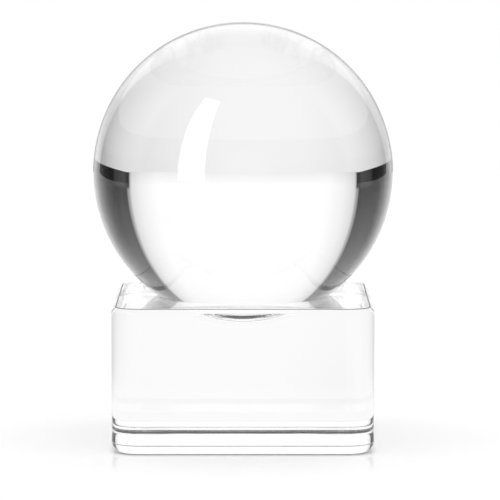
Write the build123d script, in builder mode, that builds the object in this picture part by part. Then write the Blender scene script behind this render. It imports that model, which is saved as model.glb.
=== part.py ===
"""Crystal ball on its glass block stand, in millimetres.

Two solid pieces of clear optical glass. The ball is ground and polished all
over. The stand is a square block with round corners, a narrow bevel round its
top and a rounded foot, and a shallow bowl, ground to the ball's own curve, is
sunk into its top. The ball rests in that bowl under its own weight and lifts
straight out.

The origin is the middle of the block's underside. +Z is up and the front of
the stand faces -Y.
"""

import os

from build123d import *

# Ball
ball_diameter = 80.0

# Stand
stand_width = 68.6  # side to side, along X
stand_depth = 68.6  # front to back, along Y
stand_height = 38.2
corner_radius = 7.0  # the four upright edges
top_bevel = 1.1  # flat bevel round the top face
foot_radius = 3.0  # the edge round the underside

# Seat in the top of the stand
seat_depth = 7.2  # from the top face to the lowest point of the bowl
seat_clearance = 0.15  # between the ball and the bowl, all over
seat_rim_bevel = 0.4  # takes the sharp edge off the bowl's rim

# The bowl shares the ball's centre, so its radius and the ball's height follow
ball_radius = ball_diameter / 2
seat_radius = ball_radius + seat_clearance
seat_floor_height = stand_height - seat_depth
ball_centre_height = seat_floor_height + seat_radius

os.makedirs("parts", exist_ok=True)

# --- Ball: half a disc turned round the upright axis
with BuildPart() as ball:
    with BuildSketch(Plane.XZ) as half_disc:
        with BuildLine():
            south_pole = (0, ball_centre_height - ball_radius)
            north_pole = (0, ball_centre_height + ball_radius)
            equator = (ball_radius, ball_centre_height)
            ThreePointArc(south_pole, equator, north_pole)
            Line(north_pole, south_pole)
        make_face()
    revolve(axis=Axis.Z)

ball.part.label = "crystal_ball"
export_step(ball.part, "parts/crystal_ball.step")

# --- Stand: the block, then its foot and top edge, then the bowl for the ball
with BuildPart() as stand:
    with BuildSketch() as footprint:
        RectangleRounded(stand_width, stand_depth, corner_radius)
    extrude(amount=stand_height)

    underside = stand.faces().sort_by(Axis.Z).first
    fillet(underside.edges(), foot_radius)
    top_face = stand.faces().sort_by(Axis.Z).last
    chamfer(top_face.edges(), top_bevel)

    with Locations((0, 0, ball_centre_height)):
        Sphere(seat_radius, mode=Mode.SUBTRACT)
    bowl = stand.faces().filter_by(GeomType.SPHERE).first
    chamfer(bowl.edges().filter_by(GeomType.CIRCLE), seat_rim_bevel)

stand.part.label = "crystal_stand"
export_step(stand.part, "parts/crystal_stand.step")

rim_radius = (seat_radius**2 - (seat_radius - seat_depth) ** 2) ** 0.5
print(f"ball centre {ball_centre_height:.2f} mm above the table")
print(f"overall height {ball_centre_height + ball_radius:.2f} mm")
print(f"bowl {2 * rim_radius:.2f} mm across, {seat_depth:.2f} mm deep")
print(f"ball {ball.part.volume:.0f} mm3, stand {stand.part.volume:.0f} mm3")
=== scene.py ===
# %% [markdown]
# # A crystal ball on its glass block
#
# The object is two solid lumps of clear optical glass. One is a ball, ground and
# polished all over. The other is a square block with a shallow bowl in its top,
# and the ball rests in that bowl. Clear glass has no colour of its own to paint,
# so nearly everything that the eye sees is the studio, bent by the shape. This
# lesson therefore spends its care on three things: true surfaces, a true index
# of refraction, and a studio that gives the glass something to bend.
#
# The first cell loads the measured model. Its two parts are already at their
# real size, in metres, standing on the plane z = 0 with the front facing -Y.

# %% Load the measured model
import math

import bmesh
import bpy
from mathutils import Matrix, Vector


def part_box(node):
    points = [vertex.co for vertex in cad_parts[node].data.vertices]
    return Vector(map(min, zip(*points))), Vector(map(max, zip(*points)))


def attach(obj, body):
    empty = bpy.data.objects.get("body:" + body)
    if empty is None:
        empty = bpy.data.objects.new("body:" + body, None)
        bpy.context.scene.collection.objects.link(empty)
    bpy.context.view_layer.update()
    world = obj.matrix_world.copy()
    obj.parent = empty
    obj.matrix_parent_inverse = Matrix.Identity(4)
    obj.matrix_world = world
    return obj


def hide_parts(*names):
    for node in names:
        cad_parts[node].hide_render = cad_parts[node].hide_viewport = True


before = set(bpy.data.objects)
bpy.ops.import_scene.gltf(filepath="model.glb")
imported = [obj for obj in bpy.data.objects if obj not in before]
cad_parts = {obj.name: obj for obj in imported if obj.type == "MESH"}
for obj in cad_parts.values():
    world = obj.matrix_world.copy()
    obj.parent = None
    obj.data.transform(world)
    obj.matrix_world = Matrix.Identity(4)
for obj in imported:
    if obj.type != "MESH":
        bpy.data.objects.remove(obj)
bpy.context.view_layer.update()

# %% [markdown]
# Every place below is worked out from the boxes of the two measured parts. The
# small sizes that a box can't tell, such as how far an edge is bevelled, are
# named here once, in metres.

# %% Take the main sizes from the model
MM = 0.001

ball_low, ball_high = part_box("crystal_ball")
stand_low, stand_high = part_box("crystal_stand")

ball_radius = (ball_high.z - ball_low.z) / 2
ball_centre = Vector((0, 0, (ball_high.z + ball_low.z) / 2))
stand_size = stand_high - stand_low
stand_top = stand_high.z

corner_radius = 7.0 * MM
top_bevel = 1.1 * MM
foot_radius = 3.0 * MM
seat_clearance = 0.15 * MM
seat_rim_bevel = 0.4 * MM

print(f"ball {2 * ball_radius / MM:.1f} mm across, centre {ball_centre.z / MM:.2f} mm up")
print("stand", [round(side / MM, 1) for side in stand_size], "mm")

# %% [markdown]
# ## Helpers
#
# Four small functions serve the whole script. One turns the familiar six-digit
# hex colour, which is written for screens, into the linear numbers that Blender
# computes with. One adds a shader node, with its settings and its links, in a
# single call. One writes the stops of a ramp node. One turns a finished bmesh
# into an object.
#
# A node's input goes by its name, or by its number where names repeat. The Mix
# node is the one to know: its inputs 2 and 3 are two plain values, 6 and 7 are
# two colours, and its output 2 is the mixed colour.

# %% Colour, node, ramp and mesh helpers
def colour(hex_code):
    """The linear RGBA of an sRGB hex colour."""
    levels = [int(hex_code[i : i + 2], 16) / 255 for i in (0, 2, 4)]
    linear = [v / 12.92 if v <= 0.04045 else ((v + 0.055) / 1.055) ** 2.4 for v in levels]
    return (*linear, 1.0)


WHITE = colour("FFFFFF")


def add(tree, kind, inputs=None, **settings):
    """A new node of that kind; an input is a value, or the output that feeds it."""
    node = tree.nodes.new(kind)
    for name, value in settings.items():
        setattr(node, name, value)
    for socket, value in (inputs or {}).items():
        if isinstance(value, bpy.types.NodeSocket):
            tree.links.new(value, node.inputs[socket])
        else:
            node.inputs[socket].default_value = value
    return node


def write_stops(ramp, stops):
    """Fills a ramp with grey stops, each a place and the linear level there."""
    elements = ramp.color_ramp.elements
    elements[0].position, elements[1].position = 0, 1
    while len(elements) < len(stops):
        elements.new(0.5)
    last_place = stops[-1][0]
    for element, (place, level) in zip(elements, stops):
        element.position = place / last_place
        element.color = (level, level, level, 1)


def finish_mesh(shape, name):
    """Turns a bmesh into an object with smooth faces that all point outwards."""
    bmesh.ops.recalc_face_normals(shape, faces=shape.faces)
    mesh = bpy.data.meshes.new(name)
    shape.to_mesh(mesh)
    shape.free()
    mesh.shade_smooth()
    piece = bpy.data.objects.new(name, mesh)
    bpy.context.collection.objects.link(piece)
    print(f"{name}: {len(mesh.vertices)} vertices, {len(mesh.polygons)} faces")
    return piece


# %% [markdown]
# ## The ball
#
# The real ball is ground between cups until it is round, and then polished. It
# acts as a lens, so it shows every flaw in its surface, because each facet bends
# light its own way. A UV sphere crowds its faces at two poles and stretches them
# at the waist. An icosphere spreads nearly equal triangles evenly, so the
# picture inside the ball is equally sharp everywhere. Seven subdivisions give
# triangles of under a millimetre.

# %% Make the ball
SPHERE_SUBDIVISIONS = 7

shape = bmesh.new()
bmesh.ops.create_icosphere(shape, subdivisions=SPHERE_SUBDIVISIONS, radius=ball_radius)
bmesh.ops.translate(shape, vec=ball_centre, verts=shape.verts)
crystal_ball = finish_mesh(shape, "polished_ball")

# %% [markdown]
# ## The stand
#
# The real block is pressed or sawn square. Its four uprights are rounded, a
# narrow bevel is ground round its top and its foot is rounded. The same order
# works here: a cube, then a bevel of many segments for the uprights, another for
# the foot, and one flat bevel for the top. A curve in glass needs far more
# segments than one in wood or paint, because the light inside runs along it from
# wall to wall and meets every facet.

# %% Block with round uprights, a round foot and a bevelled top
CORNER_SEGMENTS = 24
FOOT_SEGMENTS = 32
SAME_HEIGHT = 1e-5  # metres

shape = bmesh.new()
bmesh.ops.create_cube(shape, size=1)
bmesh.ops.scale(shape, vec=stand_size, verts=shape.verts)
bmesh.ops.translate(shape, vec=(0, 0, stand_size.z / 2), verts=shape.verts)


def bevel(edges, width, segments):
    """Rounds or flattens those edges of the shape, and gives the new faces."""
    made = bmesh.ops.bevel(
        shape, geom=edges, offset=width, offset_type="OFFSET", affect="EDGES",
        segments=segments, profile=0.5, material=-1,
    )
    return made["faces"]


def level_edges(height):
    """The edges of the shape that lie at that height."""
    return [
        edge for edge in shape.edges
        if all(abs(corner.co.z - height) < SAME_HEIGHT for corner in edge.verts)
    ]


uprights = [
    edge for edge in shape.edges
    if abs(edge.verts[0].co.z - edge.verts[1].co.z) > stand_top / 2
]
bevel(uprights, corner_radius, CORNER_SEGMENTS)
bevel(level_edges(0), foot_radius, FOOT_SEGMENTS)
bevel(level_edges(stand_top), top_bevel, 1)
print("block:", len(shape.faces), "faces")

# %% [markdown]
# The bowl is ground with a tool of the ball's own curve. Its section is an arc
# about the ball's centre. One vertex at the bowl's lowest point is spun about
# that centre to draw the arc. One more edge, up to the top face, is the bevel
# that takes the sharpness off the bowl's rim. Both are then spun about the
# upright axis to sweep the bowl.

# %% Spin the bowl
BOWL_RINGS = 36
BOWL_STEPS = 192

seat_radius = ball_radius + seat_clearance
rim_angle = math.acos((ball_centre.z - stand_top) / seat_radius)
rim_radius = seat_radius * math.sin(rim_angle)

lid = max(shape.faces, key=lambda face: face.calc_center_median().z)
bmesh.ops.delete(shape, geom=[lid], context="FACES_ONLY")

lowest = shape.verts.new(ball_centre - Vector((0, 0, seat_radius)))
arc = bmesh.ops.spin(
    shape, geom=[lowest], cent=ball_centre, axis=(0, -1, 0),
    angle=rim_angle - seat_rim_bevel / seat_radius, steps=BOWL_RINGS,
)
arc_end = next(item for item in arc["geom_last"] if isinstance(item, bmesh.types.BMVert))
rim_point = shape.verts.new((rim_radius + seat_rim_bevel, 0, stand_top))
shape.edges.new((arc_end, rim_point))
section = [edge for edge in shape.edges if edge.is_wire]
bmesh.ops.spin(
    shape, geom=section, cent=(0, 0, 0), axis=(0, 0, 1),
    angle=2 * math.pi, steps=BOWL_STEPS, use_merge=True,
)
bmesh.ops.remove_doubles(shape, verts=shape.verts, dist=1e-7)
print(f"bowl: {2 * rim_radius / MM:.1f} mm across")

# %% Close the top between the bowl's rim and the block's outline
open_edges = [edge for edge in level_edges(stand_top) if edge.is_boundary]
bmesh.ops.bridge_loops(shape, edges=open_edges)
print("open edges:", sum(edge.is_boundary for edge in shape.edges))

# %% [markdown]
# No ground edge is perfectly sharp. The wheel leaves a narrow matt land, called
# an arris, where the bevel meets the top face, and it shows as a thin grey line.
# The lower edge of the bevel is polished over. Both are narrow bevels here. The
# faces of the arris are put in material slot 1 for a finish of their own.
#
# Smooth shading would bend the light on the flat faces towards the curved ones.
# A Weighted Normal modifier gives each corner the direction of the largest face
# round it, so that flat faces stay flat.

# %% Ease the ground edges
ARRIS_WIDTH = 0.25 * MM
EASED_WIDTH = 0.05 * MM
EASED_SEGMENTS = 3
SHARP = math.radians(25)


def sharp_edges(lowest_height, highest_height):
    """The sharp edges of the shape between those two heights."""
    return [
        edge for edge in shape.edges
        if edge.calc_face_angle(0) > SHARP
        and all(lowest_height < corner.co.z < highest_height for corner in edge.verts)
    ]


top_edges = sharp_edges(stand_top - SAME_HEIGHT, stand_top + SAME_HEIGHT)
for face in bevel(top_edges, ARRIS_WIDTH, EASED_SEGMENTS):
    face.material_index = 1
bevel(sharp_edges(0, stand_top - top_bevel / 2), EASED_WIDTH, EASED_SEGMENTS)

crystal_stand = finish_mesh(shape, "polished_stand")
weighted = crystal_stand.modifiers.new("flat faces stay flat", "WEIGHTED_NORMAL")
weighted.mode = "FACE_AREA"

# %% [markdown]
# ## Glass
#
# Both pieces are optical glass of the commonest kind, whose index of refraction
# is 1.516. It is so clear that a few centimetres take no colour from the light,
# so the base colour is white and the transmission full. Polish leaves no grain,
# so the roughness is zero. What it does leave are long, shallow waves, a few
# microns high or tens of microns on a cheap flat face. They make straight lines
# inside the glass waver a little, as they do in the real thing. A noise texture
# draws them, with its scale worked out from the length of a wave.
#
# The arris is the same glass with a fine-ground skin. A ground skin scatters
# most of the light away from the eye. A grey base colour stands for that loss.

# %% Polished and ground optical glass
GLASS_IOR = 1.516
CLEAR = "FFFFFF"
POLISHED_ROUGHNESS = 0.0
GROUND_GREY = "686868"
GROUND_ROUGHNESS = 0.6
BALL_WAVE_LENGTH = 18 * MM
BALL_WAVE_HEIGHT = 0.004 * MM
BLOCK_WAVE_LENGTH = 14 * MM
BLOCK_WAVE_HEIGHT = 0.02 * MM


def optical_glass(name, tint, roughness, wave_length, wave_height):
    """Clear glass with the faint long waves that polishing leaves."""
    material = bpy.data.materials.new(name)
    material.use_nodes = True
    tree = material.node_tree
    tree.nodes.clear()
    place = add(tree, "ShaderNodeTexCoord").outputs["Object"]
    waves = add(
        tree, "ShaderNodeTexNoise",
        {"Vector": place, "Scale": 1 / wave_length, "Detail": 1.0},
    )
    bump = add(
        tree, "ShaderNodeBump",
        {"Height": waves.outputs["Fac"], "Distance": wave_height, "Strength": 1.0},
    )
    glass = add(
        tree, "ShaderNodeBsdfPrincipled",
        {
            "Base Color": colour(tint),
            "Roughness": roughness,
            "IOR": GLASS_IOR,
            "Transmission Weight": 1.0,
            "Normal": bump.outputs["Normal"],
        },
    )
    add(tree, "ShaderNodeOutputMaterial", {"Surface": glass.outputs["BSDF"]})
    return material


ball_glass = optical_glass(
    "Optical glass, polished ball", CLEAR, POLISHED_ROUGHNESS,
    BALL_WAVE_LENGTH, BALL_WAVE_HEIGHT,
)
block_glass = optical_glass(
    "Optical glass, polished block", CLEAR, POLISHED_ROUGHNESS,
    BLOCK_WAVE_LENGTH, BLOCK_WAVE_HEIGHT,
)
arris_glass = optical_glass(
    "Optical glass, fine-ground arris", GROUND_GREY, GROUND_ROUGHNESS,
    BLOCK_WAVE_LENGTH, BLOCK_WAVE_HEIGHT,
)
crystal_ball.data.materials.append(ball_glass)
crystal_stand.data.materials.append(block_glass)
crystal_stand.data.materials.append(arris_glass)
print("glass:", [glass.name for glass in crystal_stand.data.materials])

# %% Hide the measured part each piece stands for, and attach it to what it moves with
for piece, body, node, slot in (
    (crystal_ball, "ball", "crystal_ball", "ball_glass"),
    (crystal_stand, "stand", "crystal_stand", "stand_glass"),
):
    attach(piece, body)
    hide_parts(node)

# %% [markdown]
# ## The table
#
# The glass stands on a sheet of white acrylic. It is part of the stage, not of
# the object. The eye wants three things of it, and Light Path tells them apart:
#
# - seen straight from the camera it is plain white, with the object's shadow and
#   a painted contact shadow under the foot;
# - near the block it mirrors a little, as any polished sheet does at a low angle;
# - seen through the glass it is a glowing sheet with a painted pool of light and a
#   painted shade round the block, so that what the glass shows of it stays clean
#   whatever the lamps do.

# %% Lay the sheet
TABLE_HALF_SIZE = Vector((0.69, 0.92, 1))  # metres; the sheet has no thickness
TABLE_DROP = 0.05 * MM  # keeps the sheet clear of the block's underside

shape = bmesh.new()
bmesh.ops.create_grid(shape, x_segments=1, y_segments=1, size=1)
bmesh.ops.scale(shape, vec=TABLE_HALF_SIZE, verts=shape.verts)
bmesh.ops.translate(shape, vec=(0, 0, -TABLE_DROP), verts=shape.verts)
table = finish_mesh(shape, "table")

acrylic = bpy.data.materials.new("White acrylic sheet, polished")
acrylic.use_nodes = True
table.data.materials.append(acrylic)
tree = acrylic.node_tree
tree.nodes.clear()
place = add(tree, "ShaderNodeTexCoord").outputs["Object"]
light_path = add(tree, "ShaderNodeLightPath").outputs

# %% [markdown]
# Two measures place the painted pool of light and the painted shade on the sheet.
# The first is the direction from the block, from 0 straight ahead or behind to 1
# straight out to a side. It is turned a few degrees, as the painted pool stands
# for lamps that aren't quite square to the object. The second is the distance
# outside the block's rounded outline: past the centre of a round corner it is the
# distance from that centre, less the corner's radius.

# %% Measure the direction and the distance from the block
POOL_TURN = math.radians(4.5)

turned = add(
    tree, "ShaderNodeVectorRotate", {"Vector": place, "Angle": -POOL_TURN},
    rotation_type="Z_AXIS",
).outputs[0]
turned = add(tree, "ShaderNodeVectorMath", {0: turned}, operation="ABSOLUTE").outputs[0]
across = add(tree, "ShaderNodeSeparateXYZ", {0: turned}).outputs
angle = add(
    tree, "ShaderNodeMath", {0: across["X"], 1: across["Y"]}, operation="ARCTAN2"
).outputs[0]
sideways = add(
    tree, "ShaderNodeMath", {0: angle, 1: 2 / math.pi}, operation="MULTIPLY"
).outputs[0]

folded = add(tree, "ShaderNodeVectorMath", {0: place}, operation="ABSOLUTE").outputs[0]
corner_centre = stand_size / 2 - Vector((corner_radius, corner_radius, 0))
past_corner = add(
    tree, "ShaderNodeVectorMath", {0: folded, 1: corner_centre}, operation="SUBTRACT"
).outputs[0]
past_corner = add(
    tree, "ShaderNodeVectorMath", {0: past_corner, 1: (0, 0, 0)}, operation="MAXIMUM"
).outputs[0]
from_corner = add(
    tree, "ShaderNodeVectorMath", {0: past_corner}, operation="LENGTH"
).outputs["Value"]
outside = add(
    tree, "ShaderNodeMath", {0: from_corner, 1: corner_radius}, operation="SUBTRACT"
).outputs[0]
print("corner centre", [round(side / MM, 1) for side in corner_centre.xy], "mm from the middle")

# %% [markdown]
# A pool of light is painted into the glow that the glass sees. It is brightest in
# front and behind, and dimmer out towards the corners, which the ball's upper
# shoulders show as a soft grey rim. It starts a few centimetres from the block,
# and nearer than that, and beneath the block, the sheet is white. A narrow shade
# is painted round the block, half a centimetre to one and a half out. The top of
# the ball bends light straight down on to it, and so the painted shade draws a
# thin grey line there. Nothing else needs the shade, so it is left out for light
# that the glass turned back, and for light from the block, which has only a short
# way to go to the sheet. Ray Length measures that way.

# %% The sheet as the glass shows it
# Painted light: the pool of light and the shade are levels painted into the sheet's glow.
PAINTED_POOL_STOPS = [  # degrees from straight ahead or behind, and the level there
    (0, 0.985), (9, 0.975), (15, 0.945), (21, 0.915), (26, 0.89), (31, 0.855),
    (38, 0.815), (44, 0.78), (48, 0.75), (56, 0.67), (61, 0.60),
    (66, 0.66), (72, 0.84), (80, 0.95), (90, 0.95),
]
POOL_FROM = 28 * MM  # outside the block
POOL_FULL = 100 * MM
PAINTED_SHADE_STOPS = [  # millimetres outside the block, and the level there
    (0, 1.0), (5, 1.0), (6, 0.3), (14.4, 0.3), (16.4, 0.93), (40, 0.98), (50, 0.98),
]
LONGEST_FROM_BLOCK = 50 * MM  # light from the block reaches the shade within this
HALF_A_COUNT = 0.5  # Light Path counts in whole numbers, so this parts none from one

pool = add(tree, "ShaderNodeValToRGB", {"Fac": sideways})
write_stops(pool, PAINTED_POOL_STOPS)
shade_place = add(
    tree, "ShaderNodeMapRange",
    {"Value": outside, "From Min": 0.0, "From Max": PAINTED_SHADE_STOPS[-1][0] * MM},
).outputs["Result"]
shade = add(tree, "ShaderNodeValToRGB", {"Fac": shade_place})
write_stops(shade, PAINTED_SHADE_STOPS)

far_off = add(
    tree, "ShaderNodeMapRange",
    {"Value": outside, "From Min": POOL_FROM, "From Max": POOL_FULL},
).outputs["Result"]
level = add(
    tree, "ShaderNodeMix",
    {"Factor": far_off, 6: WHITE, 7: pool.outputs["Color"]}, data_type="RGBA",
).outputs[2]
never_turned_back = add(
    tree, "ShaderNodeMath", {0: light_path["Glossy Depth"], 1: HALF_A_COUNT},
    operation="LESS_THAN",
).outputs[0]
from_the_ball = add(
    tree, "ShaderNodeMath", {0: light_path["Ray Length"], 1: LONGEST_FROM_BLOCK},
    operation="GREATER_THAN",
).outputs[0]
shaded = add(
    tree, "ShaderNodeMath", {0: never_turned_back, 1: from_the_ball}, operation="MULTIPLY"
).outputs[0]
level = add(
    tree, "ShaderNodeMix",
    {"Factor": shaded, 6: level, 7: shade.outputs["Color"]},
    data_type="RGBA", blend_type="MULTIPLY",
).outputs[2]
# The sheet's glow as the glass sees it, with the painted pool of light and painted shade in it.
seen_in_glass = add(tree, "ShaderNodeEmission", {"Color": level, "Strength": 1.0}).outputs[0]
print("pool:", len(PAINTED_POOL_STOPS), "stops, shade:", len(PAINTED_SHADE_STOPS), "stops")

# %% [markdown]
# Seen directly, the sheet is a matt white with a little glow of its own, which
# lifts it to paper white without more light on the object. Under the rounded
# foot the sheet hardly sees the sky, and clear glass casts no such shadow by
# itself, so a painted contact shadow, a darker white, is mixed in there. This
# painted shadow draws the line on which the block stands. The mirror is a glossy
# shader, stronger at low angles by Fresnel. It fades out a few centimetres from
# the block, beyond which it has nothing to show. Its roughness is small but not
# zero, which also lets the studio tell light from this mirror from light off the
# glass.

# %% The sheet as the camera sees it
SHEET_WHITE = "F3F3F3"
SHEET_GLOW = 0.17
# Painted contact shadow: a darker white mixed in under the block's foot.
PAINTED_SHADOW_WHITE = "A8A8A8"
PAINTED_SHADOW_END = 0.3 * foot_radius  # outside the block
SHEET_IOR = 1.49
MIRROR_ROUGHNESS = 0.04
MIRROR_STRENGTH = 0.6
MIRROR_REACH = 28 * MM

paper = add(tree, "ShaderNodeBsdfDiffuse", {"Color": colour(SHEET_WHITE)}).outputs[0]
glow = add(tree, "ShaderNodeEmission", {"Color": WHITE, "Strength": SHEET_GLOW}).outputs[0]
in_the_light = add(tree, "ShaderNodeAddShader", {0: paper, 1: glow}).outputs[0]

# Where the painted contact shadow lies: full under the foot, gone just past its outline.
painted_shadow_mask = add(
    tree, "ShaderNodeMapRange",
    {
        "Value": outside, "From Min": -foot_radius, "From Max": PAINTED_SHADOW_END,
        "To Min": 1.0, "To Max": 0.0,
    },
).outputs["Result"]
# The painted contact shadow itself, a darker matt white.
dim = add(tree, "ShaderNodeBsdfDiffuse", {"Color": colour(PAINTED_SHADOW_WHITE)}).outputs[0]
matt = add(tree, "ShaderNodeMixShader", {0: painted_shadow_mask, 1: in_the_light, 2: dim}).outputs[0]

close_by = add(
    tree, "ShaderNodeMapRange",
    {
        "Value": outside, "From Min": 0.0, "From Max": MIRROR_REACH,
        "To Min": MIRROR_STRENGTH, "To Max": 0.0,
    },
).outputs["Result"]
low_angle = add(tree, "ShaderNodeFresnel", {"IOR": SHEET_IOR}).outputs[0]
mirrored = add(
    tree, "ShaderNodeMath", {0: low_angle, 1: close_by}, operation="MULTIPLY"
).outputs[0]
in_the_open = add(
    tree, "ShaderNodeMath", {0: 1.0, 1: painted_shadow_mask}, operation="SUBTRACT"
).outputs[0]
mirrored = add(
    tree, "ShaderNodeMath", {0: mirrored, 1: in_the_open}, operation="MULTIPLY"
).outputs[0]
mirror = add(
    tree, "ShaderNodeBsdfGlossy", {"Color": WHITE, "Roughness": MIRROR_ROUGHNESS}
).outputs[0]
seen_direct = add(tree, "ShaderNodeMixShader", {0: mirrored, 1: matt, 2: mirror}).outputs[0]

through_glass = add(
    tree, "ShaderNodeMath",
    {0: light_path["Is Glossy Ray"], 1: light_path["Is Transmission Ray"]},
    operation="MAXIMUM",
).outputs[0]
surface = add(
    tree, "ShaderNodeMixShader", {0: through_glass, 1: seen_direct, 2: seen_in_glass}
).outputs[0]
add(tree, "ShaderNodeOutputMaterial", {"Surface": surface})
print("sheet:", len(tree.nodes), "nodes")

# %% [markdown]
# ## The studio
#
# Clear glass is lit in a bright field. A wide white backdrop behind the object
# fills its middle with light. Black cards at both sides, just outside the frame,
# are what the steep sides of the glass bend into view, and they draw its outline
# as dark crescents. Below the cards is a gap, nearly as dark, where their lit rim
# stops, and farther round comes the dim grey of the room.
#
# All of this is painted on the world by direction, and a grey ramp runs round
# the horizon. The set in front is the mirror image of the one behind, so that
# the object looks right from the back too, and the direction is folded to one
# half. There is one exception: for light that a glass surface turned back, the
# front of the set is black, and dim grey in the gap below, as it is in a real
# studio where the lamps there are off. Glossy Depth counts how often light was
# turned back, and Is Singular Ray is true only of perfectly sharp surfaces,
# which the glass has and the table hasn't.

# %% Directions in the studio
world = bpy.data.worlds.new("studio")
bpy.context.scene.world = world
world.use_nodes = True
tree = world.node_tree
tree.nodes.clear()
light_path = add(tree, "ShaderNodeLightPath").outputs

turned_back = add(
    tree, "ShaderNodeMath", {0: light_path["Glossy Depth"], 1: HALF_A_COUNT},
    operation="GREATER_THAN",
).outputs[0]
turned_back = add(
    tree, "ShaderNodeMath",
    {0: turned_back, 1: light_path["Is Singular Ray"]}, operation="MULTIPLY",
).outputs[0]

direction = add(tree, "ShaderNodeTexCoord").outputs["Generated"]
along = add(tree, "ShaderNodeSeparateXYZ", {0: direction}).outputs
folded = add(tree, "ShaderNodeVectorMath", {0: direction}, operation="ABSOLUTE").outputs[0]
folded = add(tree, "ShaderNodeSeparateXYZ", {0: folded}).outputs
ahead = add(
    tree, "ShaderNodeMix", {"Factor": turned_back, 2: folded["Y"], 3: along["Y"]}
).outputs[0]
angle = add(
    tree, "ShaderNodeMath", {0: folded["X"], 1: ahead}, operation="ARCTAN2"
).outputs[0]
half_turn = add(
    tree, "ShaderNodeMath", {0: angle, 1: 1 / math.pi}, operation="MULTIPLY"
).outputs[0]
print("directions:", len(tree.nodes), "nodes")

# %% [markdown]
# The stops say how bright the set is at each angle from the middle of the
# backdrop. A level of 1 is white. The backdrop's edge falls off first, then comes
# the cards' lit rim, the black of the cards, and the room beyond. The backdrop
# curves forward at its foot and is a little dimmer there, which softens the
# horizon inside the ball. The walls fade a little paler with height.

# %% Backdrop, black cards, and the gap below them
BACKDROP_STOPS = [(0, 1.08), (24, 1.06), (31, 0.92), (35.0, 0.78), (36.5, 0.70)]
CARD_STOPS = [
    (36.7, 0.34), (38.2, 0.30), (38.4, 0.02), (46, 0.008), (55, 0.008), (62, 0.07),
    (69, 0.20), (78, 0.48), (90, 0.70), (100, 0.012), (180, 0.012),
]
GAP_STOPS = [
    (36.7, 0.01), (38.4, 0.02), (40.0, 0.06), (46, 0.05), (49, 0.008), (60, 0.02),
    (69, 0.14), (78, 0.40), (90, 0.60), (100, 0.25), (180, 0.25),
]
GAP_TOP = math.sin(math.radians(1.0))
CARD_FOOT = math.sin(math.radians(1.8))
CURVE_FOOT = -0.077  # heights on a sphere of radius 1 round the object
CURVE_TOP = -0.02
CURVE_LEVEL = 0.87
PALER_FROM = 0.05
PALER_TO = 0.65
PALER_BY = 0.13

cards = add(tree, "ShaderNodeValToRGB", {"Fac": half_turn})
write_stops(cards, BACKDROP_STOPS + CARD_STOPS)
gap = add(tree, "ShaderNodeValToRGB", {"Fac": half_turn})
write_stops(gap, BACKDROP_STOPS + GAP_STOPS)
above_gap = add(
    tree, "ShaderNodeMapRange",
    {"Value": along["Z"], "From Min": GAP_TOP, "From Max": CARD_FOOT},
).outputs["Result"]
walls = add(
    tree, "ShaderNodeMix",
    {"Factor": above_gap, 6: gap.outputs["Color"], 7: cards.outputs["Color"]},
    data_type="RGBA",
).outputs[2]

curve = add(
    tree, "ShaderNodeMapRange",
    {
        "Value": along["Z"], "From Min": CURVE_FOOT, "From Max": CURVE_TOP,
        "To Min": CURVE_LEVEL, "To Max": 1.0,
    },
).outputs["Result"]
walls = add(
    tree, "ShaderNodeMix", {"Factor": 1.0, 6: walls, 7: curve},
    data_type="RGBA", blend_type="MULTIPLY",
).outputs[2]

paler = add(
    tree, "ShaderNodeMapRange",
    {
        "Value": along["Z"], "From Min": PALER_FROM, "From Max": PALER_TO,
        "To Min": 0.0, "To Max": PALER_BY,
    },
).outputs["Result"]
straight_through = add(
    tree, "ShaderNodeMath", {0: 1.0, 1: turned_back}, operation="SUBTRACT"
).outputs[0]
paler = add(
    tree, "ShaderNodeMath", {0: paler, 1: straight_through}, operation="MULTIPLY"
).outputs[0]
walls = add(
    tree, "ShaderNodeMix", {"Factor": paler, 6: walls, 7: WHITE}, data_type="RGBA"
).outputs[2]
print("cards: from", CARD_STOPS[0][0], "degrees at each side")

# %% [markdown]
# Two shades are there only for what the outer faces of the glass mirror, which
# is light that never entered it: its Transmission Depth is zero. High overhead
# the room is dark, so that no grey veil lies over the top of the ball. Straight
# on, the wall is grey. Only a surface seen almost edge-on mirrors that part, so
# it draws a thin grey line round the ball. The block's flat top and its bevels
# at the sides are seen almost edge-on as well, and each mirrors one small patch
# of that wall over its whole width. Those patches are left white.

# %% What the outer faces mirror
OVERHEAD_BLACK = "101010"
DARK_FROM = math.sin(math.radians(32))
DARK_TO = math.sin(math.radians(60))
EDGE_ON_GREY = "B4B4B4"
EDGE_ON_FROM = math.cos(math.radians(22))
EDGE_ON_TO = math.cos(math.radians(10))
LEFT_WHITE = (  # sideways and half its width, up and half its height
    (0.0, 0.055, 0.11, 0.02),  # what the flat top mirrors
    (0.112, 0.022, -0.038, 0.014),  # what the bevels at the sides mirror
)

never_entered = add(
    tree, "ShaderNodeMath", {0: light_path["Transmission Depth"], 1: HALF_A_COUNT},
    operation="LESS_THAN",
).outputs[0]
off_glass = add(
    tree, "ShaderNodeMath",
    {0: never_entered, 1: light_path["Is Singular Ray"]}, operation="MULTIPLY",
).outputs[0]

overhead = add(
    tree, "ShaderNodeMapRange",
    {"Value": along["Z"], "From Min": DARK_FROM, "From Max": DARK_TO},
).outputs["Result"]
overhead = add(
    tree, "ShaderNodeMath", {0: overhead, 1: off_glass}, operation="MULTIPLY"
).outputs[0]
studio = add(
    tree, "ShaderNodeMix", {"Factor": overhead, 6: walls, 7: colour(OVERHEAD_BLACK)},
    data_type="RGBA",
).outputs[2]

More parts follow.
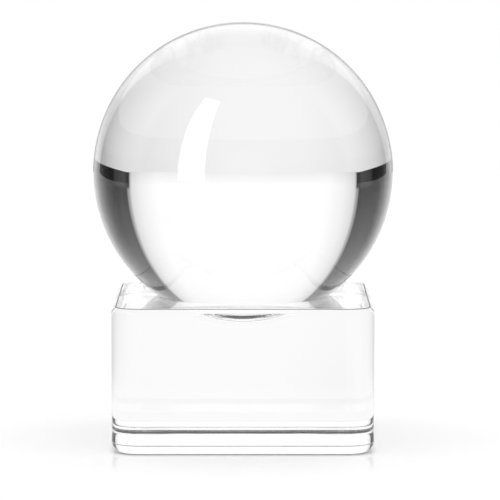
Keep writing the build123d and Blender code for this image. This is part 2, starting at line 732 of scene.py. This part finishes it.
edge_on = add(
    tree, "ShaderNodeMapRange",
    {"Value": folded["Y"], "From Min": EDGE_ON_FROM, "From Max": EDGE_ON_TO},
).outputs["Result"]
for aside, half_width, height, half_height in LEFT_WHITE:
    in_width = add(
        tree, "ShaderNodeMath", {0: folded["X"], 1: aside, 2: half_width},
        operation="COMPARE",
    ).outputs[0]
    in_height = add(
        tree, "ShaderNodeMath", {0: along["Z"], 1: height, 2: half_height},
        operation="COMPARE",
    ).outputs[0]
    window = add(
        tree, "ShaderNodeMath", {0: in_width, 1: in_height}, operation="MULTIPLY"
    ).outputs[0]
    edge_on = add(
        tree, "ShaderNodeMath", {0: edge_on, 1: window}, operation="SUBTRACT",
        use_clamp=True,
    ).outputs[0]
edge_on = add(
    tree, "ShaderNodeMath", {0: edge_on, 1: off_glass}, operation="MULTIPLY"
).outputs[0]
studio = add(
    tree, "ShaderNodeMix", {"Factor": edge_on, 6: studio, 7: colour(EDGE_ON_GREY)},
    data_type="RGBA",
).outputs[2]
print("left white:", len(LEFT_WHITE), "places")

# %% [markdown]
# Light that runs round the rounded foot, or along the bowl, is turned back
# inside the block and leaves steeply upwards. White cards hang there. A high
# ring of them serves light turned back exactly twice, which would otherwise
# double the dark line along the foot. One card straight overhead serves all
# light turned back, and keeps the underside of the bowl light.

# %% White cards high up
RING_FROM = math.sin(math.radians(30))
RING_COUNT = 2.0  # times that the light was turned back
OVERHEAD_FROM = math.sin(math.radians(65))

twice = add(
    tree, "ShaderNodeMath",
    {0: light_path["Glossy Depth"], 1: RING_COUNT, 2: HALF_A_COUNT}, operation="COMPARE",
).outputs[0]
in_ring = add(
    tree, "ShaderNodeMath", {0: along["Z"], 1: RING_FROM}, operation="GREATER_THAN"
).outputs[0]
ring = add(tree, "ShaderNodeMath", {0: in_ring, 1: twice}, operation="MULTIPLY").outputs[0]

straight_up = add(
    tree, "ShaderNodeMath", {0: along["Z"], 1: OVERHEAD_FROM}, operation="GREATER_THAN"
).outputs[0]
straight_up = add(
    tree, "ShaderNodeMath", {0: straight_up, 1: turned_back}, operation="MULTIPLY"
).outputs[0]

card = add(tree, "ShaderNodeMath", {0: ring, 1: straight_up}, operation="MAXIMUM").outputs[0]
card = add(
    tree, "ShaderNodeMath",
    {0: card, 1: light_path["Is Transmission Ray"]}, operation="MULTIPLY",
).outputs[0]
studio = add(
    tree, "ShaderNodeMix", {"Factor": card, 6: studio, 7: WHITE}, data_type="RGBA"
).outputs[2]
print("ring: above", round(math.degrees(math.asin(RING_FROM))), "degrees")

# %% [markdown]
# Only the glass sees the studio. The camera sees plain white, and so does the
# light that falls on the table, because Diffuse Depth is one or more there. A
# strength of 1 keeps white at white and lights every other colour as it is
# written.

# %% Show the studio to the glass, and plain white to all else
glass_looks = add(
    tree, "ShaderNodeMath",
    {0: light_path["Is Glossy Ray"], 1: light_path["Is Transmission Ray"]},
    operation="MAXIMUM",
).outputs[0]
not_lighting = add(
    tree, "ShaderNodeMath", {0: light_path["Diffuse Depth"], 1: HALF_A_COUNT},
    operation="LESS_THAN",
).outputs[0]
glass_looks = add(
    tree, "ShaderNodeMath", {0: glass_looks, 1: not_lighting}, operation="MULTIPLY"
).outputs[0]
seen = add(
    tree, "ShaderNodeMix", {"Factor": glass_looks, 6: WHITE, 7: studio}, data_type="RGBA"
).outputs[2]
light = add(tree, "ShaderNodeBackground", {"Color": seen, "Strength": 1.0}).outputs[0]
add(tree, "ShaderNodeOutputWorld", {"Surface": light})
print("studio:", len(tree.nodes), "nodes")

# %% [markdown]
# The bright window on the ball's shoulder is the mirror image of a tall softbox
# to the left of the camera. Clear glass mirrors only a twentieth of what falls on
# it straight, so the softbox must be a few times brighter than white to read as
# white. Only reflections show it, so it puts no light on the object or the table.

# %% A tall softbox
SOFTBOX_ANGLE = math.radians(39.3)
SOFTBOX_DISTANCE = 1.3  # metres
SOFTBOX_HALF_WIDTH = 0.246
SOFTBOX_HEIGHT = 2.15
SOFTBOX_BRIGHTNESS = 4.0

shape = bmesh.new()
bmesh.ops.create_grid(shape, x_segments=1, y_segments=1, size=1)
bmesh.ops.scale(shape, vec=(SOFTBOX_HALF_WIDTH, SOFTBOX_HEIGHT / 2, 1), verts=shape.verts)
softbox = finish_mesh(shape, "softbox")
softbox.location = (
    -SOFTBOX_DISTANCE * math.sin(SOFTBOX_ANGLE),
    -SOFTBOX_DISTANCE * math.cos(SOFTBOX_ANGLE),
    SOFTBOX_HEIGHT / 2,
)
softbox.rotation_euler = (math.pi / 2, 0, -SOFTBOX_ANGLE)
softbox.visible_camera = False
softbox.visible_diffuse = False
softbox.visible_transmission = False
softbox.visible_shadow = False

cloth = bpy.data.materials.new("Lit softbox cloth")
cloth.use_nodes = True
softbox.data.materials.append(cloth)
tree = cloth.node_tree
tree.nodes.clear()
lit = add(
    tree, "ShaderNodeEmission", {"Color": WHITE, "Strength": SOFTBOX_BRIGHTNESS}
)
add(tree, "ShaderNodeOutputMaterial", {"Surface": lit.outputs[0]})

# %% [markdown]
# ## The camera
#
# A long lens from about a metre away sees the stand's front face almost square
# on and a thin slice of its top. The camera looks down by almost six degrees.
# Light inside glass bounces many times before it finds a way out, so the limits
# on bounces are raised. A path that is cut short would leave a black speck.

# %% Camera and bounces
CAMERA_DISTANCE = 0.953  # metres
CAMERA_HEIGHT = 0.145
AIM = Vector((0.00185, 0, 0.05024))
LENS = 257.6  # millimetres
BOUNCES_OF_A_KIND = 16
BOUNCES_IN_ALL = 24

camera_data = bpy.data.cameras.new("camera")
camera_data.lens = LENS
camera = bpy.data.objects.new("camera", camera_data)
camera.location = (AIM.x, -CAMERA_DISTANCE, CAMERA_HEIGHT)
camera.rotation_euler = (AIM - camera.location).to_track_quat("-Z", "Y").to_euler()
bpy.context.collection.objects.link(camera)

scene = bpy.context.scene
scene.camera = camera
scene.view_settings.view_transform = "Standard"
scene.cycles.glossy_bounces = BOUNCES_OF_A_KIND
scene.cycles.transmission_bounces = BOUNCES_OF_A_KIND
scene.cycles.max_bounces = BOUNCES_IN_ALL

looks_down = math.atan2(CAMERA_HEIGHT - AIM.z, CAMERA_DISTANCE)
print("camera looks down by", round(math.degrees(looks_down), 2), "degrees")
